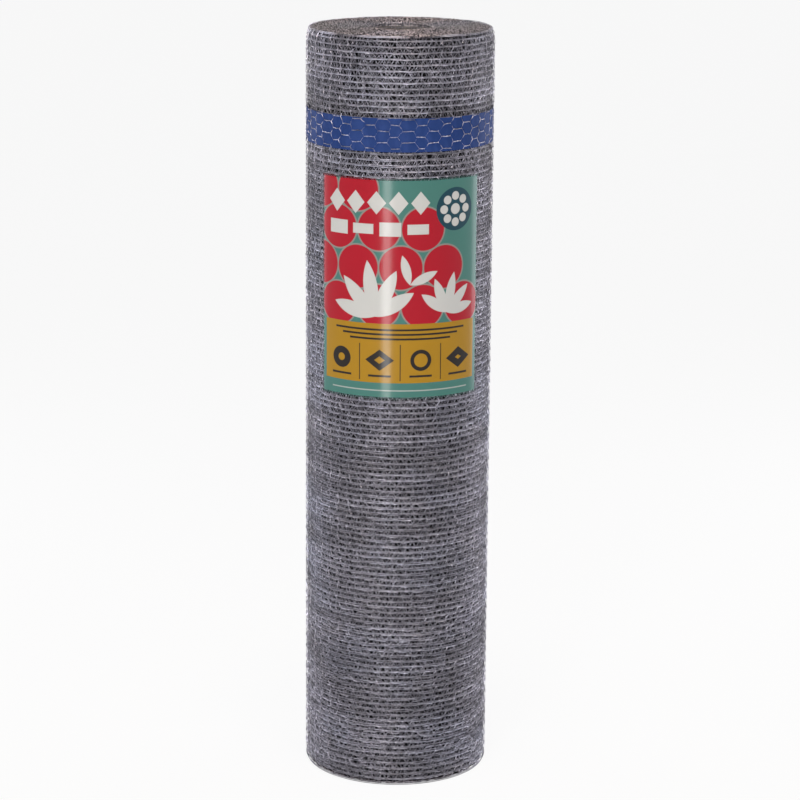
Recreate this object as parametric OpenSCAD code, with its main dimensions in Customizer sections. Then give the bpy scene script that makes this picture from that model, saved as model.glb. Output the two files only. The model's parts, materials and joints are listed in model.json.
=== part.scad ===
// Roll of hexagonal wire netting, standing on its end.
// The netting is wound with its bore left open, a ribbon lies under its last turn, and a label lies on it.
// Millimetres, +Z up. The origin is on the roll's axis, level with its lower end. The front faces -Y.

/* [Netting] */
// Width of the netting, which is the height of the standing roll
netting_w = 1000; // [600:10:1800]
// Length of the netting on the roll, in metres
netting_len_m = 50; // [20:1:100]
// Radial step from one turn to the next
turn_pitch = 0.86; // [0.6:0.02:1.6]
// Diameter of the bore that the winding mandrel leaves
bore_d = 80; // [40:1:160]

/* [Ends] */
// Width of the groove between the edges of two neighbouring turns
edge_gap_w = 0.4; // [0.1:0.05:0.5]
// Depth of the groove between the edges of two neighbouring turns
edge_gap_depth = 0.6; // [0.2:0.1:3]
// Radius of the shoulder, over which the edges of the outer turns step back
shoulder_r = 7; // [2:0.5:15]

/* [Ribbon] */
// Width of the ribbon along the roll
ribbon_w = 43; // [20:1:80]
// Thickness of the ribbon
ribbon_t = 0.2; // [0.1:0.05:0.5]
// Distance from the upper end of the roll to the ribbon
ribbon_drop = 104; // [40:1:200]
// Clearance between the ribbon and the turns that hold it
ribbon_clear = 0.05; // [0.02:0.01:0.08]

/* [Label] */
// Width of the label, measured round the roll
label_w = 230; // [80:1:300]
// Height of the label
label_h = 287; // [80:1:350]
// Thickness of the label
label_t = 0.3; // [0.1:0.05:0.6]
// Distance from the ribbon down to the label
label_gap = 34; // [10:1:60]
// Angle from the front of the roll to the middle of the label, towards +X
label_turn = 1.3; // [-180:0.1:180]
// Clearance between the label and the netting under it
label_clear = 0.05; // [0.02:0.01:0.2]

/* [Hidden] */
$fn = 180;
mm_per_m = 1000;
bore_r = bore_d / 2;
// Radius to which the whole length winds up: its edge area is the area of the ring that it fills
full_r = sqrt(netting_len_m * mm_per_m * turn_pitch / PI + bore_r * bore_r);
turns = floor((full_r - bore_r) / turn_pitch);
roll_r = bore_r + turns * turn_pitch;
last_turn_r = roll_r - turn_pitch;
ribbon_top = netting_w - ribbon_drop;
ribbon_bottom = ribbon_top - ribbon_w;
ribbon_r = last_turn_r + ribbon_clear;
label_bottom = ribbon_bottom - label_gap - label_h;
label_r = roll_r + label_clear;
label_angle = label_w / (label_r + label_t / 2) * 180 / PI;
front = -90;

// Inner radius of turn i, counted from the bore
function turn_r(i) = bore_r + i * turn_pitch;

// How far the end of the roll is stepped back at radius r, along a quarter circle at the outside
function shoulder_drop(r) =
    let (past = r - (roll_r - shoulder_r))
    past <= 0 ? 0 : shoulder_r - sqrt(shoulder_r * shoulder_r - past * past);

// How far the edge of turn i is stepped back
function edge_drop(i) = shoulder_drop(turn_r(i + 0.5));

// The flat edge of turn i as two points, each a radius and a depth from the end of the roll
function edge_land(i) = [
    [turn_r(i) + (i == 0 ? 0 : edge_gap_w / 2), edge_drop(i)],
    [turn_r(i + 1) - (i == turns - 1 ? 0 : edge_gap_w / 2), edge_drop(i)],
];

// The bottom of the groove between turn i and the next one
function groove_point(i) = [turn_r(i + 1), max(edge_drop(i), edge_drop(i + 1)) + edge_gap_depth];

// One end of the roll, from the bore to the outside
end_outline = [
    for (i = [0 : turns - 1]) each [
        each edge_land(i),
        if (i < turns - 1) groove_point(i),
    ]
];

// Outside of the roll from the lower end up, set back by one turn where the ribbon lies
side_outline = [
    [roll_r, ribbon_bottom - ribbon_clear],
    [last_turn_r, ribbon_bottom - ribbon_clear],
    [last_turn_r, ribbon_top + ribbon_clear],
    [roll_r, ribbon_top + ribbon_clear],
];

// The wound netting: one turned solid, with the edge of every turn standing out on both ends
module netting_roll() {
    lower_end = end_outline;
    upper_end = [for (i = [len(end_outline) - 1 : -1 : 0]) [end_outline[i].x, netting_w - end_outline[i].y]];
    color("#86868e")
        rotate_extrude()
            polygon(concat(lower_end, side_outline, upper_end));
}

// A ribbon once round the roll, under the last turn
module blue_band() {
    color("#2747a8")
        rotate_extrude()
            translate([ribbon_r, ribbon_bottom])
                square([ribbon_t, ribbon_w]);
}

// A sheet that follows the outside of the roll
module label() {
    color("#3f8577")
        rotate([0, 0, front + label_turn - label_angle / 2])
            rotate_extrude(angle = label_angle)
                translate([label_r, label_bottom])
                    square([label_t, label_h]);
}

netting_roll();
blue_band();
label();
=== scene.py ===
"""Looks of a standing roll of galvanised hexagonal wire netting.

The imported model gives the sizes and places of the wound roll, its ribbon and its label.
Around them this script makes the wires of the outer turns, the edges of every turn on both
ends, the turned core that stands for the turns further in, the ribbon under the last turn
and the label. Metres, +Z up, the front faces -Y.
"""

import json
import logging
import math
import random
from dataclasses import dataclass
from enum import Enum
from typing import Callable, Iterable, Sequence, Union

import bmesh
import bpy
from mathutils import Euler, Matrix, Vector


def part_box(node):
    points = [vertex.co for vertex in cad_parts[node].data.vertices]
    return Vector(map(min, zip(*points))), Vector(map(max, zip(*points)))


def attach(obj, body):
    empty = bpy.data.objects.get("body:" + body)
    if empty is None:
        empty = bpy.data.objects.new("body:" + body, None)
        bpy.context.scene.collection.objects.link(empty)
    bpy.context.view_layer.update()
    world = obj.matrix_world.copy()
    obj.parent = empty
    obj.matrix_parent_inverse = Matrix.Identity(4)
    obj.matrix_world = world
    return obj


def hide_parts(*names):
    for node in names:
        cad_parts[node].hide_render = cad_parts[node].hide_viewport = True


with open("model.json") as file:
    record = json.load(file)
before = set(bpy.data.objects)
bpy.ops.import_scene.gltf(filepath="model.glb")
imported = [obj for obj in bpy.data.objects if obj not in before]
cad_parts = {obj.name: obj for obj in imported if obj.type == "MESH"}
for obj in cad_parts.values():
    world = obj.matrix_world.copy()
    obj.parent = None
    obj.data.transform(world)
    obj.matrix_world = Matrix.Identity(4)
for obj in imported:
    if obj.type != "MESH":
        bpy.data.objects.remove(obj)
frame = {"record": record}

LOG = logging.getLogger("roll")
MM = 0.001
FULL_TURN = math.tau
QUARTER_TURN = math.tau / 4
BODY = "root"
SMOOTH_ANGLE = math.radians(40)
CLOSE = 0.01 * MM

Number = Union[float, "Value"]
Colour = tuple[float, float, float]


class Value:
    """A number in a shader, on which plain arithmetic adds Math nodes."""

    def __init__(self, shader: "Shader", socket: bpy.types.NodeSocket) -> None:
        """Wrap an output socket of a shader."""
        self.shader = shader
        self.socket = socket

    def __add__(self, other: Number) -> "Value":
        """Return self + other."""
        return self.shader.math("ADD", self, other)

    def __radd__(self, other: Number) -> "Value":
        """Return other + self."""
        return self.shader.math("ADD", other, self)

    def __sub__(self, other: Number) -> "Value":
        """Return self - other."""
        return self.shader.math("SUBTRACT", self, other)

    def __rsub__(self, other: Number) -> "Value":
        """Return other - self."""
        return self.shader.math("SUBTRACT", other, self)

    def __mul__(self, other: Number) -> "Value":
        """Return self * other."""
        return self.shader.math("MULTIPLY", self, other)

    def __rmul__(self, other: Number) -> "Value":
        """Return other * self."""
        return self.shader.math("MULTIPLY", other, self)

    def __truediv__(self, other: Number) -> "Value":
        """Return self / other."""
        return self.shader.math("DIVIDE", self, other)

    def __rtruediv__(self, other: Number) -> "Value":
        """Return other / self."""
        return self.shader.math("DIVIDE", other, self)

    def __neg__(self) -> "Value":
        """Return self with its sign turned."""
        return self.shader.math("MULTIPLY", self, -1.0)

    def __abs__(self) -> "Value":
        """Return the size of self without its sign."""
        return self.shader.math("ABSOLUTE", self)

    def floor(self) -> "Value":
        """Return the whole number below self."""
        return self.shader.math("FLOOR", self)

    def fraction(self) -> "Value":
        """Return what self has past its whole number."""
        return self.shader.math("FRACT", self)

    def high(self, other: Number) -> "Value":
        """Return the larger of self and other."""
        return self.shader.math("MAXIMUM", self, other)

    def low(self, other: Number) -> "Value":
        """Return the smaller of self and other."""
        return self.shader.math("MINIMUM", self, other)

    def rise(self, start: float, end: float) -> "Value":
        """Return 0 at start and 1 at end, with a smooth step between them.

        Args:
            start: The value of self that gives 0.
            end: The value of self that gives 1, which may be the lower one.

        Returns:
            The step.
        """
        node = self.shader.node(
            "ShaderNodeMapRange",
            {"interpolation_type": "SMOOTHSTEP"},
            {"Value": self, "From Min": start, "From Max": end},
        )
        return Value(self.shader, node.outputs["Result"])


class Shader:
    """The nodes of a material or of the world."""

    def __init__(self, owner: bpy.types.ID, output: str) -> None:
        """Start an empty node tree.

        Args:
            owner: The material or world that the nodes belong to.
            output: The type of its output node.
        """
        self.owner = owner
        owner.use_nodes = True
        self.tree = owner.node_tree
        self.tree.nodes.clear()
        self.output = self.node(output)

    @classmethod
    def of_material(cls, name: str) -> "Shader":
        """Start a new material."""
        return cls(bpy.data.materials.new(name), "ShaderNodeOutputMaterial")

    @classmethod
    def of_world(cls, name: str) -> "Shader":
        """Start a new world."""
        return cls(bpy.data.worlds.new(name), "ShaderNodeOutputWorld")

    def node(
        self, kind: str, settings: dict | None = None, sockets: dict | None = None
    ) -> bpy.types.Node:
        """Add a node.

        Args:
            kind: The node's type.
            settings: Its own settings, which are set first.
            sockets: Values or links of its input sockets, by name or number.

        Returns:
            The node.
        """
        node = self.tree.nodes.new(kind)
        for name, value in (settings or {}).items():
            setattr(node, name, value)
        for name, value in (sockets or {}).items():
            self.feed(node.inputs[name], value)
        return node

    def feed(self, socket: bpy.types.NodeSocket, value: object) -> None:
        """Link an input socket, or set its value.

        Args:
            socket: The input socket.
            value: A Value or an output socket to link, or a plain value.
        """
        if isinstance(value, Value):
            value = value.socket
        if isinstance(value, bpy.types.NodeSocket):
            self.tree.links.new(value, socket)
        elif socket.type == "RGBA":
            socket.default_value = (*value, 1.0)
        else:
            socket.default_value = value

    def math(self, operation: str, *terms: Number) -> Value:
        """Add a Math node and return its result."""
        node = self.node("ShaderNodeMath", {"operation": operation}, dict(enumerate(terms)))
        return Value(self, node.outputs[0])

    def object_place(self) -> tuple[Value, Value, Value]:
        """Split the place of the point on the object.

        Returns:
            Its x, y and z, in metres.
        """
        coordinates = self.node("ShaderNodeTexCoord")
        split = self.node("ShaderNodeSeparateXYZ", None, {0: coordinates.outputs["Object"]})
        return tuple(Value(self, split.outputs[i]) for i in range(3))

    def sheet_place(self) -> tuple[Value, Value]:
        """Split the place of the point on the piece's own UV map.

        Returns:
            Its u and v, from 0 to 1 each way.
        """
        coordinates = self.node("ShaderNodeTexCoord")
        split = self.node("ShaderNodeSeparateXYZ", None, {0: coordinates.outputs["UV"]})
        return Value(self, split.outputs[0]), Value(self, split.outputs[1])

    def noise(self, scale: float, detail: float = 2.0, stretch: Sequence[float] = (1, 1, 1)) -> Value:
        """Return noise on object coordinates.

        Args:
            scale: Blobs in a metre.
            detail: Octaves.
            stretch: How much finer the noise is along each axis.

        Returns:
            The noise, mostly from 0.3 to 0.7.
        """
        coordinates = self.node("ShaderNodeTexCoord")
        place = self.node(
            "ShaderNodeMapping", None, {"Vector": coordinates.outputs["Object"], "Scale": stretch}
        )
        node = self.node(
            "ShaderNodeTexNoise",
            None,
            {"Vector": place.outputs[0], "Scale": scale, "Detail": detail},
        )
        return Value(self, node.outputs["Fac"])

    def blend(self, mask: Number, under: object, over: object) -> bpy.types.NodeSocket:
        """Cover one colour with another.

        Args:
            mask: 1 where the second colour shows, 0 where the first one does.
            under: The first colour, as a socket or a plain colour.
            over: The second colour.

        Returns:
            The colour's socket.
        """
        node = self.node("ShaderNodeMix", {"data_type": "RGBA"}, {"Factor": mask})
        self.feed(node.inputs[6], under)
        self.feed(node.inputs[7], over)
        return node.outputs[2]

    def bump(self, height: Value, distance: float, strength: float = 1.0) -> bpy.types.NodeSocket:
        """Return a normal that is tilted by a height.

        Args:
            height: The height, where 1 stands for distance.
            distance: Metres.
            strength: How much of the tilt shows.

        Returns:
            The normal's socket.
        """
        node = self.node(
            "ShaderNodeBump", None, {"Height": height, "Distance": distance, "Strength": strength}
        )
        return node.outputs[0]

    def principled(self, **sockets: object) -> bpy.types.Material:
        """Finish the material with a Principled BSDF.

        Args:
            **sockets: Values of its sockets, with underscores for spaces.

        Returns:
            The material.
        """
        named = {name.replace("_", " "): value for name, value in sockets.items()}
        surface = self.node("ShaderNodeBsdfPrincipled", None, named)
        self.tree.links.new(surface.outputs[0], self.output.inputs[0])
        return self.owner

    def seen(self) -> Value:
        """Tell what is looked at from what only gives light.

        Returns:
            1 for rays from the camera, from gloss and through glass, and 0 for light on matt faces.
        """
        path = self.node("ShaderNodeLightPath")
        seen = Value(self, path.outputs["Is Camera Ray"])
        for ray in ("Is Glossy Ray", "Is Transmission Ray"):
            seen = seen.high(Value(self, path.outputs[ray]))
        return seen

    def mix(self, mask: Value, under: bpy.types.Node, over: bpy.types.Node) -> None:
        """Finish the tree with a mix of two surfaces or backgrounds.

        Args:
            mask: How much of the second one shows.
            under: The node of the first one.
            over: The node of the second one.
        """
        mixed = self.node(
            "ShaderNodeMixShader", None, {0: mask, 1: under.outputs[0], 2: over.outputs[0]}
        )
        self.tree.links.new(mixed.outputs[0], self.output.inputs[0])


class Workpiece:
    """A mesh on the bench, shaped by operators. Edit mode is on until a modifier or the end."""

    def __init__(self, name: str) -> None:
        """Start an empty mesh at the origin.

        Args:
            name: The piece's name.
        """
        if bpy.context.object and bpy.context.object.mode != "OBJECT":
            bpy.ops.object.mode_set(mode="OBJECT")
        bpy.ops.object.select_all(action="DESELECT")
        bpy.ops.object.add(type="MESH", enter_editmode=True, location=(0, 0, 0))
        self.obj = bpy.context.object
        self.obj.name = name
        self.obj.data.name = name

    def circle(self, sides: int, radius: float, at: Sequence[float], turn: Sequence[float]) -> None:
        """Add an open ring of edges, which alone is selected.

        Args:
            sides: Its number of edges.
            radius: Its radius.
            at: Its centre.
            turn: Its Euler angles, from lying flat.
        """
        bpy.ops.mesh.select_all(action="DESELECT")
        bpy.ops.mesh.primitive_circle_add(
            vertices=sides, radius=radius, fill_type="NOTHING", location=at, rotation=turn
        )

    def pick(self, test: Callable[[Vector], bool]) -> None:
        """Select the vertices whose place passes a test, and the edges and faces between them.

        Args:
            test: What a vertex's place has to pass.
        """
        mesh = bmesh.from_edit_mesh(self.obj.data)
        for part in (*mesh.faces, *mesh.edges, *mesh.verts):
            part.select = False
        for vertex in mesh.verts:
            vertex.select = test(vertex.co)
        mesh.select_flush(True)
        bmesh.update_edit_mesh(self.obj.data)

    def pick_all(self) -> None:
        """Select the whole mesh."""
        bpy.ops.mesh.select_all(action="SELECT")

    def extrude(self, by: Sequence[float]) -> None:
        """Pull new faces out of the selected edges, and leave their far edges selected."""
        bpy.ops.mesh.extrude_edges_move(TRANSFORM_OT_translate={"value": by})

    def move(self, by: Sequence[float]) -> None:
        """Move what is selected."""
        bpy.ops.transform.translate(value=by)

    def copy(self, by: Sequence[float]) -> None:
        """Copy what is selected, and leave the copy selected."""
        bpy.ops.mesh.duplicate_move(TRANSFORM_OT_translate={"value": by})

    def turn(self, angle: float, axis: str, centre: Sequence[float] = (0, 0, 0)) -> None:
        """Turn what is selected about an axis.

        Args:
            angle: The angle.
            axis: The axis, X, Y or Z.
            centre: A point on the axis.
        """
        bpy.ops.transform.rotate(
            value=angle, orient_axis=axis, orient_type="GLOBAL", center_override=centre
        )

    def resize(self, by: Sequence[float], centre: Sequence[float] = (0, 0, 0)) -> None:
        """Scale what is selected about a centre."""
        bpy.ops.transform.resize(value=by, center_override=centre)

    def weld(self, distance: float) -> None:
        """Merge the vertices of the whole mesh that are nearer than a distance."""
        self.pick_all()
        bpy.ops.mesh.remove_doubles(threshold=distance)

    def face_outwards(self) -> None:
        """Turn every face outwards."""
        self.pick_all()
        bpy.ops.mesh.normals_make_consistent(inside=False)

    def leave_edit(self) -> None:
        """Go back to object mode."""
        if self.obj.mode != "OBJECT":
            bpy.ops.object.mode_set(mode="OBJECT")

    def edit(self) -> None:
        """Go to edit mode."""
        if self.obj.mode != "EDIT":
            bpy.ops.object.mode_set(mode="EDIT")

    def modify(self, kind: str, **settings: object) -> None:
        """Add a modifier and apply it.

        Args:
            kind: The modifier's type.
            **settings: Its settings.
        """
        self.leave_edit()
        modifier = self.obj.modifiers.new(kind.lower(), kind)
        for name, value in settings.items():
            setattr(modifier, name, value)
        bpy.ops.object.modifier_apply(modifier=modifier.name)

    def array(self, count: int, by: Sequence[float], weld: float) -> None:
        """Repeat the mesh.

        Args:
            count: How many times it stands there in all.
            by: The step from one to the next.
            weld: The distance under which neighbours are merged.
        """
        self.modify(
            "ARRAY",
            count=count,
            use_relative_offset=False,
            use_constant_offset=True,
            constant_offset_displace=by,
            use_merge_vertices=True,
            merge_threshold=weld,
        )

    def roll_up(self, angle: float, radius: float) -> None:
        """Bend the flat mesh round the axis, with its middle at the front.

        Args:
            angle: The angle that it covers.
            radius: The radius on which the plane y = 0 comes to lie.
        """
        self.modify("SIMPLE_DEFORM", deform_method="BEND", deform_axis="Z", angle=angle)
        self.edit()
        self.pick_all()
        self.move((0, -radius, 0))

    def group(self, name: str, test: Callable[[Vector], bool]) -> None:
        """Put the vertices whose place passes a test in a named group.

        Args:
            name: The group's name.
            test: What a vertex's place has to pass.
        """
        self.edit()
        self.pick(test)
        bpy.ops.object.vertex_group_add()
        self.obj.vertex_groups.active.name = name
        bpy.ops.object.vertex_group_assign()

    def sway(
        self, blob: float, reach: float, direction: str, group: str = "", contrast: float = 1.0
    ) -> None:
        """Push the mesh about by smooth noise.

        Args:
            blob: The size of the noise's blobs.
            reach: The whole range of the push.
            direction: The axis of the push.
            group: The group of vertices that moves, or nothing where all do.
            contrast: How often the push is all or nothing, from 1, smooth, to 5.
        """
        texture = bpy.data.textures.new(f"{self.obj.name}_sway", "CLOUDS")
        texture.noise_scale = blob
        texture.noise_depth = 1
        texture.contrast = contrast
        texture.use_clamp = True
        self.modify(
            "DISPLACE",
            texture=texture,
            texture_coords="LOCAL",
            direction=direction,
            strength=reach,
            mid_level=0.5,
            vertex_group=group,
        )

    def finish(
        self, material: bpy.types.Material, slot: str, smooth: float | None, replaces: Iterable[str] = ()
    ) -> bpy.types.Object:
        """Dress the piece and seat it in the frame.

        Args:
            material: Its material.
            slot: Not used.
            smooth: The angle up to which edges look smooth, or None where all do.
            replaces: The nodes that it stands for.

        Returns:
            The piece's object.
        """
        self.leave_edit()
        self.obj.data.materials.clear()
        self.obj.data.materials.append(material)
        if smooth is None:
            bpy.ops.object.shade_smooth()
        else:
            bpy.ops.object.shade_smooth_by_angle(angle=smooth)
        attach(self.obj, BODY)
        if replaces:
            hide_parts(*replaces)
        triangles = sum(len(face.vertices) - 2 for face in self.obj.data.polygons)
        LOG.info("%s: %d triangles", self.obj.name, triangles)
        return self.obj


@dataclass(frozen=True)
class RollSizes:
    """Sizes of the wound roll, read from the frame, and the step of its turns."""

    radius: float
    height: float
    bore_radius: float
    turn_pitch: float = 0.86 * MM

    @classmethod
    def from_frame(cls) -> "RollSizes":
        """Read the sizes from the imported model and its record.

        Returns:
            The sizes.
        """
        low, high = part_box("netting_roll")
        bore = next(m for m in frame["record"]["mounts"] if m["name"] == "bore")
        return cls(radius=high.x, height=high.z - low.z, bore_radius=bore["dims"]["r_mm"] * MM)

    @property
    def turns(self) -> int:
        """The number of turns from the bore to the outside."""
        return round((self.radius - self.bore_radius) / self.turn_pitch)


@dataclass(frozen=True)
class Mesh:
    """Sizes of the hexagonal mesh, the same in every turn.

    Attributes:
        wire_radius: The radius of a single wire, a little more than the real one's.
        twist_length: The length of a twist, round the roll.
        rows: The number of rows of twists.
        cells_round: The number of cells round the last turn.
        cells_lost: How many cells fewer each turn further in has.
        front_phase: The shift of the last turn's cells to the right of the front, in cells.
        phase_step: The shift of each turn's cells against those of the turn over it, in cells.
    """

    wire_radius: float = 0.32 * MM
    twist_length: float = 12.4 * MM
    rows: int = 132
    cells_round: int = 23
    cells_lost: float = 0.16
    front_phase: float = 0.338
    phase_step: float = 0.382

    def phase(self, turn: int) -> float:
        """Return the shift of a turn's cells to the right, in cells, where turn 0 is the last one."""
        return self.front_phase + self.phase_step * turn


@dataclass(frozen=True)
class ZincWire:
    """Finish of the galvanised wires.

    Attributes:
        name: The material's name.
        pale: The colour of bright zinc.
        dull: The colour of dull zinc.
        tarnish: The warm colour of stains.
        bloom: The cool colour of hazy patches.
        shade: What these four colours are multiplied by.
        metallic: How metallic it is.
        roughness: The roughness of dull zinc. Bright zinc is a little rougher.
        grain: Patches of bright and dull zinc in a metre.
        softness: How softly they run into one another.
        stained: How much the stains show.
        hazed: How much the hazy patches show.
        banded: How much the darker rows show.
        soot: The colour of the darker rows.
        stretch: How much finer the grain is along each axis.
    """

    STAIN_GRAIN = 26
    HAZE_GRAIN = 11
    BAND_GRAIN = 75
    BAND_STRETCH = (0.07, 0.07, 1.0)
    ROUGHER = 0.14

    name: str = "zinc_wire"
    pale: Colour = (0.868, 0.835, 0.962)
    dull: Colour = (0.57, 0.55, 0.632)
    tarnish: Colour = (0.50, 0.45, 0.43)
    bloom: Colour = (0.60, 0.68, 0.90)
    shade: float = 1.0
    metallic: float = 0.88
    roughness: float = 0.30
    grain: float = 220.0
    softness: float = 0.12
    stained: float = 0.2
    hazed: float = 0.2
    banded: float = 0.4
    soot: Colour = (0.05, 0.045, 0.05)
    stretch: tuple[float, float, float] = (1.0, 1.0, 1.0)

    def material(self) -> bpy.types.Material:
        """Make the material.

        Returns:
            The material.
        """
        shader = Shader.of_material(self.name)
        patch = shader.noise(self.grain, 2, self.stretch).rise(0.5 - self.softness, 0.5 + self.softness)
        stain = shader.noise(self.STAIN_GRAIN, 2).rise(0.46, 0.64)
        haze = shader.noise(self.HAZE_GRAIN, 2).rise(0.48, 0.62)
        dim = shader.noise(self.BAND_GRAIN, 1, self.BAND_STRETCH).rise(0.56, 0.40) * self.banded
        dull, pale, tarnish, bloom = (
            tuple(self.shade * part for part in ink)
            for ink in (self.dull, self.pale, self.tarnish, self.bloom)
        )
        zinc = shader.blend(haze * self.hazed, shader.blend(patch, dull, pale), bloom)
        zinc = shader.blend(stain * self.stained, zinc, tarnish)
        return shader.principled(
            Base_Color=shader.blend(dim, zinc, self.soot),
            Metallic=self.metallic,
            Roughness=self.roughness + self.ROUGHER * patch,
        )


@dataclass(frozen=True)
class DeepTurns:
    """Finish of the turned core: the wires of the turns that lie further in.

    Attributes:
        sizes: The roll's sizes.
        mesh: The mesh's sizes.
        name: The material's name.
        gap: The colour between the wires: near black, painted shade of the turns that lie deeper still.
        wire: The colour of the wires.
        lining: The colour between the wires of the innermost turns: pale and warm, painted light on the
            bore's wall.
        lining_depth: How deep the innermost turns go, from the bore.
        first_turn: The number of the outermost of these turns.
        nets: How many of them show.
        climb: How much higher each of them sits than the one over it, in rows.
    """

    WOBBLE_GRAIN = 30
    ROW_WOBBLE = 0.3
    CELL_WOBBLE = 0.35
    # Each net further in is drawn darker by this share: painted shade.
    PAINTED_DEPTH_SHADE = 0.12
    WIRE_GRAIN = 420

    sizes: RollSizes
    mesh: Mesh
    name: str = "deep_turns"
    # Near black: painted shade of the deeper turns between the wires.
    gap: Colour = (0.005, 0.005, 0.006)
    wire: Colour = (0.66, 0.635, 0.73)
    # Pale and warm: painted light on the bore's wall.
    lining: Colour = (0.52, 0.46, 0.41)
    lining_depth: float = 5 * MM
    first_turn: int = 7
    nets: int = 6
    climb: float = 0.02

    def net(self, around: Value, up: Value, phase: float) -> Value:
        """Return 1 on the wires of one turn and 0 between them.

        Args:
            around: The place round the roll, in cells to the right of the front.
            up: The place up the roll, in rows.
            phase: How far this turn's cells are shifted to the right, in cells.

        Returns:
            The mask.
        """
        cell = FULL_TURN * self.sizes.radius / self.mesh.cells_round
        row = self.sizes.height / (self.mesh.rows + 1)
        flat = self.mesh.twist_length / cell / 2
        slope = 1 / (0.5 - 2 * flat)
        strip = up.floor()
        inside = up - strip
        along = (around - phase + 0.5 * strip).fraction()
        bend = ((abs(along - 0.5) - flat) * slope).high(0.0).low(1.0)
        gap = abs(inside - bend) * row
        return gap.rise(2.2 * self.mesh.wire_radius, 1.0 * self.mesh.wire_radius)

    def material(self) -> bpy.types.Material:
        """Make the material.

        Returns:
            The material.
        """
        shader = Shader.of_material(self.name)
        x, y, z = shader.object_place()
        angle = shader.math("ARCTAN2", x, -y)
        wobble = shader.noise(self.WOBBLE_GRAIN, 1) - 0.5
        around = angle * (self.mesh.cells_round / FULL_TURN)
        up = z * ((self.mesh.rows + 1) / self.sizes.height) + self.ROW_WOBBLE * wobble
        wires = None
        for net in range(self.nets):
            aside = around + (net - (self.nets - 1) / 2) * self.CELL_WOBBLE * wobble
            mask = self.net(aside, up - self.climb * net, self.mesh.phase(self.first_turn + net))
            # Darker for each net further in: painted shade.
            depth_shaded_mask = mask * (1.0 - self.PAINTED_DEPTH_SHADE * net)
            wires = depth_shaded_mask if wires is None else wires.high(depth_shaded_mask)
        grain = shader.noise(self.WIRE_GRAIN, 2).rise(0.35, 0.7)
        shown = wires * (0.45 + 0.55 * grain)
        radius = shader.math("SQRT", x * x + y * y)
        wall = self.sizes.bore_radius + self.lining_depth
        # On the bore's wall, painted light takes the place of the painted shade between the wires.
        bore_wall_painted_light = radius.rise(wall, wall - 1 * MM)
        painted_shade_and_light = shader.blend(bore_wall_painted_light, self.gap, self.lining)
        return shader.principled(
            Base_Color=shader.blend(shown, painted_shade_and_light, self.wire),
            Metallic=0.95 - 0.85 * bore_wall_painted_light,
            Roughness=0.7 - 0.3 * shown,
            Normal=shader.bump(shown, 0.6 * MM, 0.8),
        )


@dataclass(frozen=True)
class RibbonFilm:
    """Finish of the plain blue ribbon."""

    name: str = "ribbon_film"
    blue: Colour = (0.026, 0.056, 0.195)
    worn: Colour = (0.034, 0.068, 0.225)

    def material(self) -> bpy.types.Material:
        """Make the material.

        Returns:
            The material.
        """
        shader = Shader.of_material(self.name)
        crease = shader.noise(90, 3, (1, 1, 0.35))
        return shader.principled(
            Base_Color=shader.blend(crease.rise(0.4, 0.65), self.blue, self.worn),
            Roughness=0.42 + 0.1 * crease,
            Specular_IOR_Level=0.02,
            Normal=shader.bump(crease, 0.4 * MM, 0.5),
        )


class Ink(Enum):
    """Colours of the label's print."""

    TEAL = (0.058, 0.187, 0.160)
    DEEP_TEAL = (0.003, 0.045, 0.068)
    CRIMSON = (0.405, 0.001, 0.014)
    GREY = (0.260, 0.245, 0.225)
    PALE = (0.585, 0.585, 0.562)
    AMBER = (0.395, 0.208, 0.006)
    DARK = (0.012, 0.008, 0.006)


@dataclass(frozen=True)
class Sheet:
    """The place of a point on the label, in millimetres: across from its middle, up from its foot."""

    across: Value
    up: Value
    soft: float = 0.35

    def distance(self, at: tuple[float, float]) -> Value:
        """Measure the distance from a point.

        Args:
            at: The point.

        Returns:
            The distance.
        """
        aside = self.across - at[0]
        above = self.up - at[1]
        return self.up.shader.math("SQRT", aside * aside + above * above)

    def within(self, distance: Value, radius: float) -> Value:
        """Return 1 where a distance is under a radius, with a soft edge."""
        return distance.rise(radius + self.soft, radius - self.soft)

    def disc(self, at: tuple[float, float], radius: float) -> Value:
        """Return 1 inside a disc."""
        return self.within(self.distance(at), radius)

    def box(self, at: tuple[float, float], half: tuple[float, float]) -> Value:
        """Return 1 inside a box of a given half width and half height."""
        outside = (abs(self.across - at[0]) - half[0]).high(abs(self.up - at[1]) - half[1])
        return self.within(outside, 0.0)

    def diamond(self, at: tuple[float, float], half: tuple[float, float]) -> Value:
        """Return 1 inside a diamond of a given half width and half height."""
        out = abs(self.across - at[0]) * (half[1] / half[0]) + abs(self.up - at[1])
        return self.within(out, half[1])

    def leaf(self, foot: tuple[float, float], lean: float, length: float, width: float) -> Value:
        """Return 1 inside a pointed leaf.

        Args:
            foot: The point where it starts.
            lean: Its angle to the right of upright, in degrees.
            length: From point to point.
            width: At its middle.

        Returns:
            The mask.
        """
        turn = math.radians(lean)
        along = (math.sin(turn), math.cos(turn))
        middle = (foot[0] + along[0] * length / 2, foot[1] + along[1] * length / 2)
        radius = (length**2 + width**2) / (4 * width)
        shift = radius - width / 2
        sides = []
        for side in (-1, 1):
            at = (middle[0] + side * shift * along[1], middle[1] - side * shift * along[0])
            sides.append(self.disc(at, radius))
        return sides[0] * sides[1]


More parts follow.
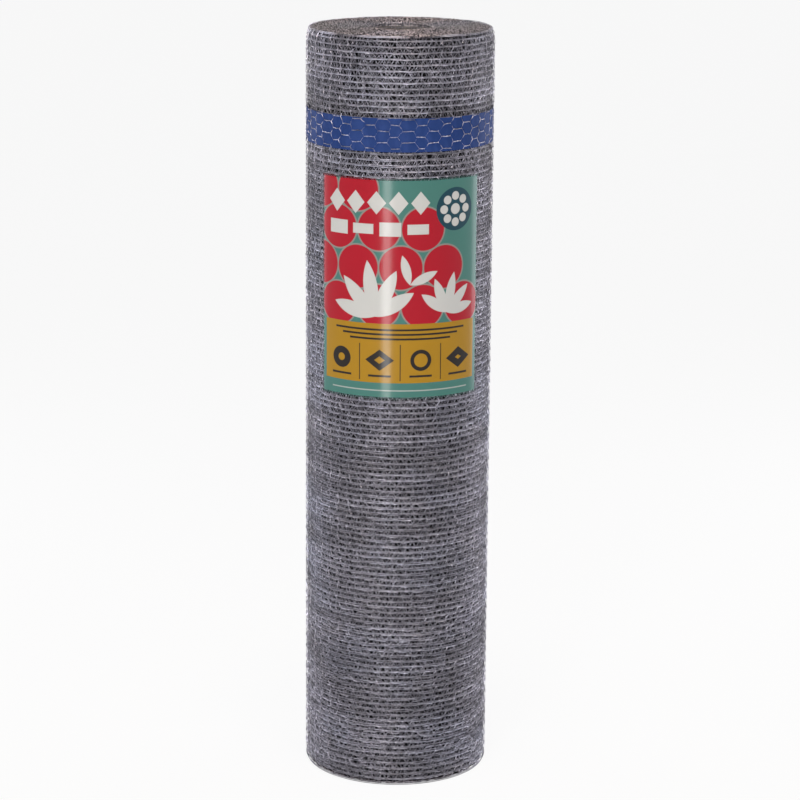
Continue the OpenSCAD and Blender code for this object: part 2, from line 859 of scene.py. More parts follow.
@dataclass(frozen=True)
class LabelPrint:
    """Print of the label, with plain figures of its own, under a glossy laminate.

    Attributes:
        width: The label's width, in millimetres, as all sizes here.
        height: The label's height.
        name: The material's name.
        margin: The width of the clear edge of the laminate.
        disc_radius: The radius of the crimson discs.
        disc_rim: The width of their grey rims.
    """

    width: float
    height: float
    name: str = "label_print"
    margin: float = 2.2
    disc_radius: float = 28.0
    disc_rim: float = 2.0

    def material(self) -> bpy.types.Material:
        """Make the material.

        Returns:
            The material.
        """
        shader = Shader.of_material(self.name)
        u, v = shader.sheet_place()
        sheet = Sheet((u - 0.5) * self.width, v * self.height)
        colour = self.discs(shader, sheet, Ink.TEAL.value)
        colour = self.sprays(shader, sheet, colour)
        colour = self.heading(shader, sheet, colour)
        colour = self.panel(shader, sheet, colour)
        half = (self.width / 2 - self.margin, self.height / 2 - self.margin)
        printed = sheet.box((0, self.height / 2), half)
        return shader.principled(
            Base_Color=colour,
            Roughness=0.55,
            Specular_IOR_Level=0.06,
            Coat_Weight=0.5,
            Coat_Roughness=0.17,
            Alpha=0.2 + 0.8 * printed,
            Normal=shader.bump(shader.noise(55, 2), 0.5 * MM, 0.10),
        )

    def discs(self, shader: Shader, sheet: Sheet, colour: object) -> object:
        """Print the crimson discs with their grey rims, in rows that fit into one another.

        Args:
            shader: The shader to add to.
            sheet: The place on the label.
            colour: The colour so far.

        Returns:
            The colour with the discs on it.
        """
        step = 2 * self.disc_radius + self.disc_rim
        nearest = None
        for row, (first, count) in enumerate(((-1.5, 4), (-2.0, 4), (-1.5, 3), (-2.0, 2))):
            for place in range(count):
                at = ((first + place) * step, 122.0 + row * step * math.sqrt(0.75))
                distance = sheet.distance(at)
                nearest = distance if nearest is None else nearest.low(distance)
        rim = sheet.within(nearest, self.disc_radius + self.disc_rim)
        colour = shader.blend(rim, colour, Ink.GREY.value)
        return shader.blend(sheet.within(nearest, self.disc_radius), colour, Ink.CRIMSON.value)

    def sprays(self, shader: Shader, sheet: Sheet, colour: object) -> object:
        """Print the two sprays of pale leaves.

        Args:
            shader: The shader to add to.
            sheet: The place on the label.
            colour: The colour so far.

        Returns:
            The colour with the leaves on it.
        """
        for foot, scale, lean in (((-34.0, 108.0), 1.0, -8.0), ((62.0, 112.0), 0.72, 12.0)):
            for leaf in range(-2, 3):
                length = (74 - 7 * abs(leaf)) * scale
                mask = sheet.leaf(foot, lean + 33 * leaf, length, 19 * scale)
                colour = shader.blend(mask, colour, Ink.PALE.value)
        for leaf in (-1, 1):
            mask = sheet.leaf((12.0, 150.0), 25 + 40 * leaf, 40, 12)
            colour = shader.blend(mask, colour, Ink.PALE.value)
        return colour

    def heading(self, shader: Shader, sheet: Sheet, colour: object) -> object:
        """Print the rosette and the two rows of pale figures at the top.

        Args:
            shader: The shader to add to.
            sheet: The place on the label.
            colour: The colour so far.

        Returns:
            The colour with the heading on it.
        """
        centre = (74.0, 246.0)
        colour = shader.blend(sheet.disc(centre, 28), colour, Ink.DEEP_TEAL.value)
        petals = sheet.disc(centre, 7.0)
        for petal in range(8):
            angle = petal * FULL_TURN / 8
            at = (centre[0] + 17 * math.cos(angle), centre[1] + 17 * math.sin(angle))
            petals = petals.high(sheet.disc(at, 5.6))
        colour = shader.blend(petals, colour, Ink.PALE.value)
        for place in range(5):
            mask = sheet.diamond((-89 + place * 28.5, 256.0), (12.5, 15.0))
            colour = shader.blend(mask, colour, Ink.PALE.value)
        for place in range(4):
            mask = sheet.box((-86 + place * 36.0, 222.0), (14.0, 9.0 - 2.5 * (place % 2)))
            colour = shader.blend(mask, colour, Ink.PALE.value)
        return colour

    def panel(self, shader: Shader, sheet: Sheet, colour: object) -> object:
        """Print the amber panel with its columns at the foot of the label.

        Args:
            shader: The shader to add to.
            sheet: The place on the label.
            colour: The colour so far.

        Returns:
            The colour with the panel on it.
        """
        middle = 60.0
        colour = shader.blend(sheet.box((0, middle), (108, 39)), colour, Ink.AMBER.value)
        marks = sheet.box((0, middle + 31), (90, 1.3))
        for rule in (1, 2):
            marks = marks.high(sheet.box((0, middle + 31 - rule * 6), (90 - 11 * rule, 1.3)))
        for place in range(4):
            at = (-81.0 + place * 54.0, middle - 9)
            if place % 2 == 0:
                mark = sheet.disc(at, 14) * (1 - sheet.disc(at, 5.0 + 2 * place))
            else:
                mark = sheet.diamond(at, (19, 14)) * (1 - sheet.diamond(at, (8 - place, 6 - place)))
            marks = marks.high(mark)
            marks = marks.high(sheet.box((at[0], middle - 30), (15, 1.4)))
            if place:
                marks = marks.high(sheet.box((at[0] - 27, middle - 12), (0.6, 24)))
        colour = shader.blend(marks, colour, Ink.DARK.value)
        foot = sheet.box((0, 11.0), (96, 0.8))
        return shader.blend(foot * 0.6, colour, Ink.PALE.value)


class Twist(Enum):
    """How finely the twists of a turn are made: whole turns of the two wires, and steps."""

    ROPE = (1, 6)
    CROSS = (0, 2)
    BAR = (0, 1)

    @property
    def whole_turns(self) -> int:
        """Whole turns of the two wires round each other, past the one crossing."""
        return self.value[0]

    @property
    def steps(self) -> int:
        """Straight steps in one twist."""
        return self.value[1]


@dataclass
class NettingTurn:
    """One turn of the netting, or a range of its rows.

    Attributes:
        sizes: The roll's sizes.
        mesh: The mesh's sizes.
        name: The piece's name.
        radius: The radius of the middle of its twists.
        twist: How finely its twists are made.
        phase: The shift of its cells to the right of the front, in cells.
        lean: How far its free edges lean in.
        cells: The number of cells that it has.
        cells_per_turn: The number of cells that would go once round.
        first_row: Its lowest row of twists, counted from 1 at the foot.
        last_row: Its highest row of twists.
        layer: Its number, which gives it a drift and waves of its own.
        blob: The size of the waves that push each wire by itself.
        jitter: The whole range of that push, up and down.
        push: The whole range of that push, in and out.
        drift: The whole range of the drift of its cells, sideways.
        lift: How much higher it sits than the last turn.
    """

    sizes: RollSizes
    mesh: Mesh
    name: str
    radius: float
    twist: Twist
    phase: float = 0.0
    lean: float = 0.0
    cells: int = Mesh.cells_round
    cells_per_turn: float = Mesh.cells_round
    first_row: int = 1
    last_row: int = Mesh.rows
    layer: int = 0
    blob: float = 9 * MM
    jitter: float = 1.5 * MM
    push: float = 0.9 * MM
    drift: float = 16 * MM
    lift: float = 0.0

    WELD = 0.02 * MM
    SIDES = 3
    STRAND_FULLNESS = 1.2
    BAR_FULLNESS = 1.8
    DIAGONAL_FULLNESS = 1.1
    LEAVE_ANGLE = FULL_TURN / 12
    EDGE_GAP = 1.0 * MM
    LAYER_STEP = 70 * MM
    DRIFT_BLOB = 20 * MM
    LEAN_SHARES = (
        (-1.0, 0.3, 1.0), (0.3, 0.6, 0.5), (0.6, 1.3, 0.24), (1.3, 1.7, 0.12), (1.7, 2.3, 0.05),
    )
    HELD_ROWS = 2.5
    GROWTH = 0.02

    @property
    def row(self) -> float:
        """The step from one row of twists to the next."""
        return self.sizes.height / (self.mesh.rows + 1)

    @property
    def cell(self) -> float:
        """The width of a cell, round the roll."""
        return FULL_TURN * self.radius / self.cells_per_turn

    def strands(self, piece: Workpiece) -> None:
        """Model one twist of two wires with its four half diagonals.

        Args:
            piece: The mesh to add it to.
        """
        wire = self.mesh.wire_radius
        half = self.mesh.twist_length / 2
        start = QUARTER_TURN + self.LEAVE_ANGLE
        whole = FULL_TURN * self.twist.whole_turns + 2 * QUARTER_TURN - 2 * self.LEAVE_ANGLE
        beside = Vector((0, wire * math.cos(start), wire * math.sin(start)))
        section = self.STRAND_FULLNESS * wire
        piece.circle(self.SIDES, section, Vector((-half, 0, 0)) + beside, (0, QUARTER_TURN, 0))
        piece.copy(-2 * beside)
        piece.pick_all()
        for _ in range(self.twist.steps):
            piece.extrude((2 * half / self.twist.steps, 0, 0))
            piece.turn(-whole / self.twist.steps, "X")
        reach = self.cell / 4 - half
        for side in (-1, 1):
            for level in (-1, 1):
                piece.pick(
                    lambda co: co.x * side > half * 0.99 and co.z * level > 0 and abs(co.x) < half * 1.01
                )
                out = Vector((side * reach, 0, level * self.row / 2))
                piece.extrude(out - Vector((0, 0, level * wire * math.sin(start))))

    def bar(self, piece: Workpiece) -> None:
        """Model one twist as a single bar with two whole diagonals.

        Args:
            piece: The mesh to add it to.
        """
        wire = self.mesh.wire_radius
        length = self.mesh.twist_length
        turned = (0, QUARTER_TURN, 0)
        piece.circle(self.SIDES, self.BAR_FULLNESS * wire, (-length / 2, 0, 0), turned)
        piece.extrude((length, 0, 0))
        reach = self.cell / 2 - length
        for level in (-1, 1):
            piece.circle(self.SIDES, self.DIAGONAL_FULLNESS * wire, (length / 2, 0, 0), turned)
            piece.extrude((reach, 0, level * self.row))

    def build(self) -> Workpiece:
        """Build the turn.

        Returns:
            The piece, in object mode.
        """
        piece = Workpiece(self.name)
        if self.twist is Twist.BAR:
            self.bar(piece)
        else:
            self.strands(piece)
        piece.pick_all()
        piece.copy((self.cell / 2, 0, self.row))
        piece.weld(self.WELD)
        piece.pick_all()
        piece.move((-(self.cells // 2) * self.cell, 0, self.first_row * self.row))
        piece.array(self.cells, (self.cell, 0, 0), self.WELD)
        piece.array((self.last_row - self.first_row + 1) // 2, (0, 0, 2 * self.row), self.WELD)
        piece.edit()
        for upper in self.free_edges():
            self.reach_edge(piece, upper)
        self.shuffle(piece)
        piece.roll_up(FULL_TURN * self.cells / self.cells_per_turn, self.radius)
        piece.weld(self.WELD)
        for upper in self.free_edges():
            self.lean_in(piece, upper)
        piece.pick_all()
        piece.turn(-self.phase * FULL_TURN / self.cells, "Z")
        self.ripple(piece)
        return piece

    def free_edges(self) -> list[bool]:
        """List the edges of the netting that this piece has.

        Returns:
            False for the lower edge, True for the upper one.
        """
        edges = []
        if self.first_row == 1:
            edges.append(False)
        if self.last_row == self.mesh.rows:
            edges.append(True)
        return edges

    def from_edge(self, upper: bool) -> Callable[[Vector], float]:
        """Make a measure of how far a place is from one edge.

        Args:
            upper: Whether it is the upper edge.

        Returns:
            A function that gives the distance of a place, in rows.
        """
        if upper:
            return lambda co: (self.sizes.height - co.z) / self.row
        return lambda co: co.z / self.row

    def reach_edge(self, piece: Workpiece, upper: bool) -> None:
        """Lead the outermost diagonals to just inside the edge.

        Args:
            piece: The flat mesh.
            upper: Whether it is the upper edge.
        """
        out = 1 if upper else -1
        rows_from = self.from_edge(upper)
        piece.pick(lambda co: rows_from(co) < 0.6)
        if self.twist is Twist.BAR:
            piece.move((0, 0, -out * self.EDGE_GAP))
        else:
            piece.extrude((0, 0, out * (0.5 * self.row - self.EDGE_GAP)))

    def shuffle(self, piece: Workpiece) -> None:
        """Let the cells drift sideways, another way in each turn, apart from those at the seam.

        Args:
            piece: The flat mesh.
        """
        away = Vector((0, self.layer * self.LAYER_STEP, 0))
        loose = (self.cells // 2 - 0.5) * self.cell
        piece.edit()
        piece.pick_all()
        piece.move(away)
        piece.group("loose", lambda co: abs(co.x) < loose)
        piece.sway(self.DRIFT_BLOB, self.drift, "X", "loose")
        piece.edit()
        piece.pick_all()
        piece.move(-away)

    def lean_in(self, piece: Workpiece, upper: bool) -> None:
        """Lean the edge of the turn towards the axis, in an arc of five steps.

        Args:
            piece: The rolled mesh.
            upper: Whether it is the upper edge.
        """
        rows_from = self.from_edge(upper)
        for low, high, share in self.LEAN_SHARES:
            factor = 1 - share * self.lean / self.radius
            piece.pick(lambda co: low < rows_from(co) <= high)
            piece.resize((factor, factor, 1))

    def ripple(self, piece: Workpiece) -> None:
        """Let the rows wave, all turns nearly alike, and each wire by itself a little.

        Args:
            piece: The rolled mesh.
        """
        tall = self.sizes.height
        held = self.HELD_ROWS * self.row
        piece.edit()
        piece.pick(lambda co: held < co.z < tall - held)
        piece.move((0, 0, self.lift))
        apart = 1 + self.GROWTH * self.layer
        for name, top, blob, reach in (
            ("rows", tall - held, 42 * MM, 2.6 * MM),
            ("low_rows", 0.38 * tall, 34 * MM * apart, 2.2 * MM),
            ("foot_rows", 0.22 * tall, 26 * MM * apart, 3.0 * MM),
        ):
            piece.group(name, lambda co: held < co.z < top)
            piece.sway(blob, reach, "Z", name)
        piece.sway(self.blob, self.jitter, "Z")
        piece.sway(1.1 * self.blob, self.push, "X")
        piece.sway(1.2 * self.blob, self.push, "Y")


@dataclass
class Selvedge:
    """The straight wires along one edge of a turn, or of several that lie together.

    Attributes:
        sizes: The roll's sizes.
        name: The piece's name.
        upper: Whether it is the upper edge.
        radius: The radius of the first wire's middle.
        wire_radius: The radius of a wire.
        step: The step from one wire to the next, along the axis.
        depth: The distance of the first wire from the end of the roll.
        wires: The number of wires.
        spread: How much each wire lies further out than the one before it, in steps.
        sway: The whole range of their waves.
        sides: Sides of a wire's section.
        steps: Straight pieces round the roll.
    """

    WAVE = 36 * MM

    sizes: RollSizes
    name: str
    upper: bool
    radius: float
    wire_radius: float = 0.38 * MM
    step: float = 1.4 * MM
    depth: float = 1.2 * MM
    wires: int = 2
    spread: float = 0.8
    sway: float = 2.0 * MM
    sides: int = 4
    steps: int = 184

    def build(self) -> Workpiece:
        """Build the wires.

        Returns:
            The piece, in object mode.
        """
        piece = Workpiece(self.name)
        for place in range(self.wires):
            depth = self.depth + place * self.step
            height = self.sizes.height - depth if self.upper else depth
            at = (self.radius + self.spread * place * self.step, 0, height)
            piece.circle(self.sides, self.wire_radius, at, (QUARTER_TURN, 0, 0))
        piece.pick_all()
        bpy.ops.mesh.spin(
            steps=self.steps, angle=FULL_TURN, center=(0, 0, 0), axis=(0, 0, 1), use_auto_merge=True
        )
        piece.weld(CLOSE)
        piece.face_outwards()
        piece.sway(self.WAVE, self.sway, "Z")
        return piece


@dataclass
class RollEnd:
    """The edges of the turns on one end of the roll, or of a range of them.

    Attributes:
        sizes: The roll's sizes.
        name: The piece's name.
        upper: Whether it is the upper end.
        outer: The outside radius of the edges.
        first_turn: The first turn of the range, counted from 0 at the outside.
        last_turn: The turn after the range.
        steps: Straight pieces round the roll.
        wire_radius: The radius of a wire.
        sides: Sides of a wire's section.
        stagger: How much deeper one turn may lie than another.
        sway: The whole range of the bends of a wire, up and down.
        contrast: How sharp these bends are.
        blob: The size of these bends.
    """

    UPPER_SEED = 11
    LOWER_SEED = 12

    sizes: RollSizes
    name: str
    upper: bool
    outer: float
    first_turn: int
    last_turn: int
    steps: int
    wire_radius: float = 0.50 * MM
    sides: int = 3
    stagger: float = 0.9 * MM
    sway: float = 2.6 * MM
    contrast: float = 3.0
    blob: float = 1.9 * MM

    def build(self) -> Workpiece:
        """Build the rings of edge wire.

        Returns:
            The piece, in object mode.
        """
        draw = random.Random(self.first_turn + (self.UPPER_SEED if self.upper else self.LOWER_SEED))
        pitch = (self.outer - self.sizes.bore_radius) / self.sizes.turns
        piece = Workpiece(self.name)
        for turn in range(self.first_turn, self.last_turn):
            depth = self.wire_radius + 0.5 * self.sway + draw.uniform(0.0, self.stagger)
            height = self.sizes.height - depth if self.upper else depth
            at = (self.outer - (turn + 0.5) * pitch, 0, height)
            piece.circle(self.sides, self.wire_radius, at, (QUARTER_TURN, 0, 0))
        piece.pick_all()
        bpy.ops.mesh.spin(
            steps=self.steps, angle=FULL_TURN, center=(0, 0, 0), axis=(0, 0, 1), use_auto_merge=True
        )
        piece.weld(CLOSE)
        piece.face_outwards()
        piece.sway(self.blob, self.sway, "Z", contrast=self.contrast)
        return piece


@dataclass
class RollCore:
    """The turned body that stands for all the turns further in.

    Attributes:
        sizes: The roll's sizes.
        name: The piece's name.
        cover: How far it lies under the roll's outside.
        lining: How far its bore lies behind the roll's bore.
        set_back: How far its ends lie behind the roll's ends.
        rounding: The rounding of its outer edges.
        sides: Straight pieces round the roll.
        bevel_steps: Steps of the rounding.
    """

    sizes: RollSizes
    name: str = "inner_turns"
    cover: float = 7.4 * MM
    lining: float = 3 * MM
    set_back: float = 3.4 * MM
    rounding: float = 2 * MM
    sides: int = 192
    bevel_steps: int = 5

    def build(self) -> Workpiece:
        """Build the body with its bore.

        Returns:
            The piece, in edit mode.
        """
        outer = self.sizes.radius - self.cover
        inner = self.sizes.bore_radius + self.lining
        tall = self.sizes.height - 2 * self.set_back
        piece = Workpiece(self.name)
        piece.circle(self.sides, inner, (0, 0, self.set_back), (0, 0, 0))
        piece.extrude((0, 0, 0))
        piece.resize((outer / inner, outer / inner, 1))
        piece.extrude((0, 0, tall))
        piece.extrude((0, 0, 0))
        piece.resize((inner / outer, inner / outer, 1))
        piece.extrude((0, 0, -tall))
        piece.weld(CLOSE)
        for height in (self.set_back, self.set_back + tall):
            piece.pick(
                lambda co: abs(co.z - height) < 0.1 * MM and math.hypot(co.x, co.y) > 0.99 * outer
            )
            bpy.ops.mesh.bevel(offset=self.rounding, segments=self.bevel_steps, affect="EDGES")
        piece.face_outwards()
        return piece


@dataclass
class Ribbon:
    """The blue ribbon that lies under the last turn.

    Attributes:
        name: The piece's name.
        thickness: Its thickness.
        tucked: How far it lies further in than its solid.
        sides: Straight pieces round the roll.
        rows: Straight pieces from its lower to its upper edge.
    """

    name: str = "ribbon"
    thickness: float = 0.15 * MM
    tucked: float = 0.8 * MM
    sides: int = 192
    rows: int = 10

    def build(self) -> Workpiece:
        """Build the ribbon.

        Returns:
            The piece, in object mode.
        """
        low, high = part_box("blue_band")
        piece = Workpiece(self.name)
        inside = high.x - self.tucked - self.thickness
        piece.circle(self.sides, inside, (0, 0, low.z), (0, 0, 0))
        for _ in range(self.rows):
            piece.extrude((0, 0, (high.z - low.z) / self.rows))
        piece.face_outwards()
        piece.modify("SOLIDIFY", thickness=self.thickness, offset=1.0)
        return piece


@dataclass
class Label:
    """The laminated sheet on the outside of the roll.

    Attributes:
        name: The piece's name.
        columns: Faces across.
        rows: Faces from foot to top.
        thickness: Its thickness.
    """

    name: str = "front_label"
    columns: int = 72
    rows: int = 40
    thickness: float = 0.25 * MM

    def __post_init__(self) -> None:
        """Read the label's place from the frame."""
        self.low, self.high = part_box("label")
        self.outer = -self.low.y
        left = math.asin(self.low.x / self.outer)
        right = math.asin(self.high.x / self.outer)
        self.angle = right - left
        self.turned = (right + left) / 2

    @property
    def width(self) -> float:
        """The label's width, measured round the roll."""
        return self.angle * self.outer

    @property
    def tall(self) -> float:
        """The label's height."""
        return self.high.z - self.low.z

    def build(self) -> Workpiece:
        """Build the sheet.

        Returns:
            The piece, in object mode.
        """
        piece = Workpiece(self.name)
        bpy.ops.mesh.primitive_grid_add(
            x_subdivisions=self.columns,
            y_subdivisions=self.rows,
            size=1,
            calc_uvs=True,
            rotation=(QUARTER_TURN, 0, 0),
        )
        piece.resize((self.width, 1, self.tall))
        piece.move((0, 0, (self.low.z + self.high.z) / 2))
        piece.roll_up(self.angle, self.outer)
        piece.pick_all()
        piece.turn(-self.turned, "Z")
        piece.modify("SOLIDIFY", thickness=self.thickness, offset=-1.0)
        return piece


@dataclass
class Studio:
    """The floor, the light and the camera.

    Attributes:
        distance: How far the camera stands before the axis.
        height: The camera's height.
        aside: How far the camera stands to the right.
        pitch: How much the camera looks down.
        roll: How much the camera is turned about its view.
        lens: The camera's focal length, on a sensor 36 mm wide.
        floor_size: The length of the floor's sides.
        floor_grey: The floor's colour, under light.
        floor_white: How much of the floor shines white by itself, to the camera and in reflections.
        soft_light: The strength of the light from all around.
    """

    distance: float = 3.679
    height: float = 1.4006
    aside: float = 0.0029
    pitch: float = math.radians(13.744)
    roll: float = math.radians(0.436)
    lens: float = 127.5
    floor_size: float = 30.0
    floor_grey: float = 0.86
    floor_white: float = 0.92
    soft_light: float = 0.2

    def build(self) -> None:
        """Set the stage."""
        self.camera()
        self.floor()
        self.world()
        self.lamp("strip", (-0.37, -1.50, 0.62), (0.26, 1.30), 11, (1.0, 0.985, 0.97), 0.45)
        self.lamp("key", (0.1, -3.2, 2.0), (3.0, 0.8), 19, (1.0, 0.955, 0.925), 0.5)
        self.lamp("overhead", (0.0, -0.4, 2.6), (0.5, 0.5), 22, (1.0, 0.88, 0.78), 0.9)
        self.lamp("left", (-2.0, 1.1, 0.5), (1.6, 1.4), 24, (0.90, 0.93, 1.0), 0.5)
        self.lamp("right", (2.0, 1.1, 0.5), (1.6, 1.4), 35, (0.96, 0.96, 1.0), 0.5)
        scene = bpy.context.scene
        scene.view_settings.view_transform = "Standard"

    def camera(self) -> None:
        """Place the camera at the photograph's viewing angle."""
        data = bpy.data.cameras.new("camera")
        data.lens = self.lens
        data.sensor_width = 36.0
        data.clip_end = 100.0
        camera = bpy.data.objects.new("camera", data)
        bpy.context.scene.collection.objects.link(camera)
        aim = Euler((QUARTER_TURN - self.pitch, 0, 0)).to_matrix() @ Matrix.Rotation(self.roll, 3, "Z")
        camera.matrix_world = Matrix.Translation((self.aside, -self.distance, self.height)) @ aim.to_4x4()
        bpy.context.scene.camera = camera

    def floor(self) -> None:
        """Lay the floor, which looks white to the camera and keeps the roll's shadow."""
        bpy.ops.object.select_all(action="DESELECT")
        bpy.ops.mesh.primitive_plane_add(size=self.floor_size, location=(0, 0, 0))
        floor = bpy.context.object
        floor.name = "floor"
        shader = Shader.of_material("floor")
        diffuse = shader.node("ShaderNodeBsdfDiffuse", None, {"Color": (self.floor_grey,) * 3})
        white = shader.node("ShaderNodeEmission", None, {"Color": (1, 1, 1), "Strength": 1.0})
        shader.mix(shader.seen() * self.floor_white, diffuse, white)
        floor.data.materials.append(shader.owner)

    def world(self) -> None:
        """Make the surroundings: white to the camera and in reflections, and a soft even light."""
        shader = Shader.of_world("studio")
        bpy.context.scene.world = shader.owner
        soft = shader.node(
            "ShaderNodeBackground", None, {"Color": (0.94, 0.95, 1.0), "Strength": self.soft_light}
        )
        white = shader.node("ShaderNodeBackground", None, {"Color": (1, 1, 1), "Strength": 1.0})
        shader.mix(shader.seen(), soft, white)

    def lamp(
        self,
        name: str,
        at: tuple[float, float, float],
        size: tuple[float, float],
        power: float,
        colour: Colour,
        aim: float,
    ) -> None:
        """Add a soft box.

        Args:
            name: The lamp's name.
            at: Its place.
            size: Its width and height.
            power: Watts.
            colour: Its colour.
            aim: The height of the point on the axis that it faces.
        """
        data = bpy.data.lights.new(name, "AREA")
        data.shape = "RECTANGLE"
        data.size = size[0]
        data.size_y = size[1]
        data.energy = power
        data.color = colour
        lamp = bpy.data.objects.new(name, data)
        bpy.context.scene.collection.objects.link(lamp)
        lamp.location = at
        lamp.rotation_euler = (Vector((0, 0, aim)) - Vector(at)).to_track_quat("-Z", "Y").to_euler()
        lamp.visible_camera = False


@dataclass
class Netting:
    """All the netting of the roll: its outer turns, its ends, its bore and the core between them.

    Attributes:
        sizes: The roll's sizes.
        mesh: The mesh's sizes.
        outer_turns: How many turns of single wires lie over the core.
        last_turn_depth: How far the middle of the last turn lies under the roll's outside.
        last_turn_gap: The step from the last turn to the next one.
        lean: How far the edges of the last turn lean in.
        inner_lean: How far the edges of the turns under it lean in.
        lift: How much higher each turn sits than the one over it.
        blob: The size of the waves that push each wire by itself, in the last turn.
        blob_step: How much larger they are in each turn further in.
        last_drift: The drift of the last turn's cells.
        depth_painted_shade: The brightness of each turn beside the one over it: painted shade for the
            light that the turns over it keep off.
        bore_layers: How many turns line the bore near its ends.
        bore_rows: How many rows these turns have.
        bore_depth: How far the innermost turn lies behind the bore.
        bore_step: The step from one of these turns to the next.
        bore_cells: The number of cells round the bore.
        bore_drift: The drift of these cells.
        bore_seed: The seed of the shifts of these turns.
        rim_depth: How far the straight wires at the bore's upper end lie behind the bore.
        fine_turns: How many turns of the upper end have more straight pieces.
        upper_out: How far the straight wires of the upper edge lie outside the edges of the turns.
        lower_out: The same for the lower edge.
    """

    sizes: RollSizes
    mesh: Mesh
    outer_turns: int = 7
    last_turn_depth: float = 1.0 * MM
    last_turn_gap: float = 1.5 * MM
    lean: float = 4.9 * MM
    inner_lean: float = 4.2 * MM
    lift: float = -0.10 * MM
    blob: float = 9 * MM
    blob_step: float = 0.7 * MM
    last_drift: float = 11 * MM
    depth_painted_shade: float = 0.86
    bore_layers: int = 8
    bore_rows: int = 12
    bore_depth: float = 0.9 * MM
    bore_step: float = 0.4 * MM
    bore_cells: int = 7
    bore_drift: float = 3 * MM
    bore_seed: int = 7
    rim_depth: float = 0.7 * MM
    fine_turns: int = 45
    upper_out: float = 0.9 * MM
    lower_out: float = 2.4 * MM

    @property
    def last_radius(self) -> float:
        """The middle radius of the last turn, whose twists stay inside the roll's outline."""
        return self.sizes.radius - self.last_turn_depth

    def build(self) -> None:
        """Build every piece of the netting."""
        wire = ZincWire(shade=0.95).material()
        self.last_turn(wire)
        self.turns_below()
        # The bore's wires are paler, warmer and less metallic than the others: painted light where the
        # lamps reach the bore's far wall.
        painted_light_bore_finish = ZincWire(
            "bore_wire_painted_light", pale=(0.95, 0.84, 0.84), dull=(0.10, 0.085, 0.085), metallic=0.3, roughness=0.4,
            grain=420.0, softness=0.05, banded=0.0, stretch=(1.0, 1.0, 0.35),
        )
        self.bore(painted_light_bore_finish.material())
        self.ends()
        core = RollCore(self.sizes).build()
        finish = DeepTurns(self.sizes, self.mesh).material()
        core.finish(finish, "galvanised_wire", SMOOTH_ANGLE, ["netting_roll"])

    def last_turn(self, wire: bpy.types.Material) -> None:
        """Build the last turn in two pieces, one above the other.

        Args:
            wire: The finish of its wires.
        """
        half = self.mesh.rows // 2
        for name, first, last in (("lower", 1, half), ("upper", half + 1, self.mesh.rows)):
            turn = NettingTurn(
                self.sizes, self.mesh, f"last_turn_{name}", self.last_radius, Twist.ROPE,
                self.mesh.phase(0), self.lean, first_row=first, last_row=last, blob=self.blob,
                drift=self.last_drift,
            )
            turn.build().finish(wire, "galvanised_wire", None)

    def turns_below(self) -> None:
        """Build the turns that show through the last one."""
        for turn in range(1, self.outer_turns):
            radius = self.last_radius - self.last_turn_gap - (turn - 1) * self.sizes.turn_pitch
            piece = NettingTurn(
                self.sizes, self.mesh, f"turn_{turn + 1}", radius,
                Twist.CROSS if turn == 1 else Twist.BAR, self.mesh.phase(turn), self.inner_lean,
                cells_per_turn=self.mesh.cells_round - turn * self.mesh.cells_lost,
                blob=self.blob + turn * self.blob_step, layer=turn, lift=turn * self.lift,
            )
            # Each turn further in gets a darker copy of the zinc finish: painted shade for the light that
            # the turns over it keep off.
            wire = ZincWire(f"zinc_wire_{turn + 1}", shade=0.96 * self.depth_painted_shade**turn).material()
            piece.build().finish(wire, "galvanised_wire", None)

    def bore(self, wire: bpy.types.Material) -> None:
        """Build the innermost turns, in several layers near the two ends and one between them.

        Args:
            wire: The finish of their wires, paler and warmer than the others: painted light on the bore's
                wall.
        """
        draw = random.Random(self.bore_seed)
        rows = self.mesh.rows
        for layer in range(self.bore_layers):
            radius = self.sizes.bore_radius + self.bore_depth + layer * self.bore_step
            for part, first in (("lower", 1), ("upper", rows - self.bore_rows + 1)):
                lining = NettingTurn(
                    self.sizes, self.mesh, f"bore_turn_{layer + 1}_{part}", radius, Twist.CROSS,
                    draw.random(), cells=self.bore_cells, cells_per_turn=self.bore_cells,
                    first_row=first, last_row=first + self.bore_rows - 1, drift=self.bore_drift,
                )
                lining.build().finish(wire, "galvanised_wire", None)
        lining = NettingTurn(
            self.sizes, self.mesh, "bore_turn_middle", self.sizes.bore_radius + self.bore_depth,
            Twist.BAR, cells=self.bore_cells, cells_per_turn=self.bore_cells,
            first_row=self.bore_rows + 1, last_row=rows - self.bore_rows, drift=self.bore_drift,
        )
        lining.build().finish(wire, "galvanised_wire", None)
        rim = Selvedge(
            self.sizes, "bore_selvedge", True, self.sizes.bore_radius + self.rim_depth,
            step=0.9 * MM, depth=1.4 * MM, wires=5, spread=0.0, steps=96,
        )
        rim.build().finish(wire, "galvanised_wire", None)

    def ends(self) -> None:
        """Build the edges of the turns on both ends, and the straight wires of the last turn's edges."""
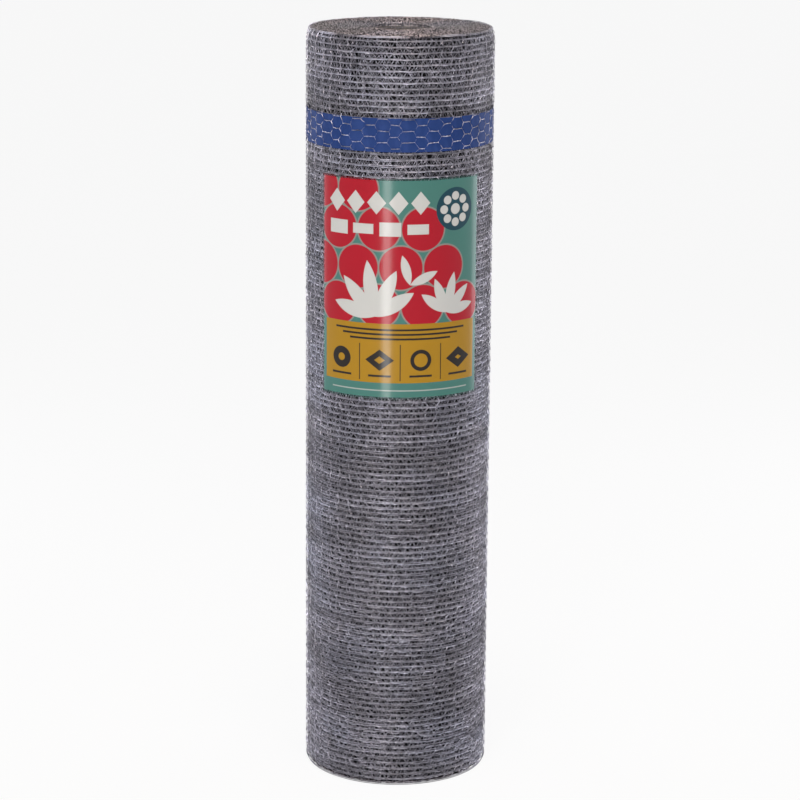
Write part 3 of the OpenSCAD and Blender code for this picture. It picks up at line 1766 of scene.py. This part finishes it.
        # The ends' wires are much darker than the same wire on the side, with dull patches near black:
        # painted shade between the edges of the turns. The stains are real tarnish.
        grain = ZincWire(
            "end_wire_painted_shade", pale=(0.95, 0.82, 0.87), dull=(0.02, 0.017, 0.02), shade=0.41, metallic=0.75,
            roughness=0.2, grain=640.0, softness=0.05, stained=0.4, banded=0.0, stretch=(1.0, 0.24, 1.0),
        )
        end_wire_painted_shade = grain.material()
        outer = self.last_radius - self.lean
        turns = self.sizes.turns
        for name, upper, first, last, steps in (
            ("upper_end_outer", True, 0, self.fine_turns, 384),
            ("upper_end_inner", True, self.fine_turns, turns, 192),
            ("lower_end", False, 0, turns, 96),
        ):
            end = RollEnd(self.sizes, name, upper, outer, first, last, steps).build()
            end.finish(end_wire_painted_shade, "galvanised_wire", None)
        upper = Selvedge(self.sizes, "upper_selvedge", True, outer + self.upper_out).build()
        edge_wire = ZincWire("upper_edge_wire", dull=(0.07, 0.065, 0.08), shade=0.85, grain=16.0)
        upper.finish(edge_wire.material(), "galvanised_wire", None)
        lower = Selvedge(
            self.sizes, "lower_selvedge", False, outer + self.lower_out, wire_radius=0.5 * MM,
            step=2.0 * MM, depth=0.9 * MM, wires=3, spread=0.5, sway=0.6 * MM,
        ).build()
        # The wires of the lower edge are much darker than the same wire elsewhere: painted shade at the
        # foot of the roll.
        edge_wire = ZincWire(
            "lower_edge_wire_painted_shade", shade=0.30, metallic=0.5, roughness=0.5, grain=16.0, banded=0.0
        )
        lower.finish(edge_wire.material(), "galvanised_wire", None)


def main() -> None:
    """Build the roll around the frame and set the stage."""
    logging.basicConfig(level=logging.INFO, format="%(name)s: %(message)s")
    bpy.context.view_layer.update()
    sizes = RollSizes.from_frame()
    Netting(sizes, Mesh()).build()
    Ribbon().build().finish(RibbonFilm().material(), "ribbon", SMOOTH_ANGLE, ["blue_band"])
    label = Label()
    print_finish = LabelPrint(label.width / MM, label.tall / MM)
    label.build().finish(print_finish.material(), "label_print", SMOOTH_ANGLE, ["label"])
    Studio().build()


if __name__ == "__main__":
    main()
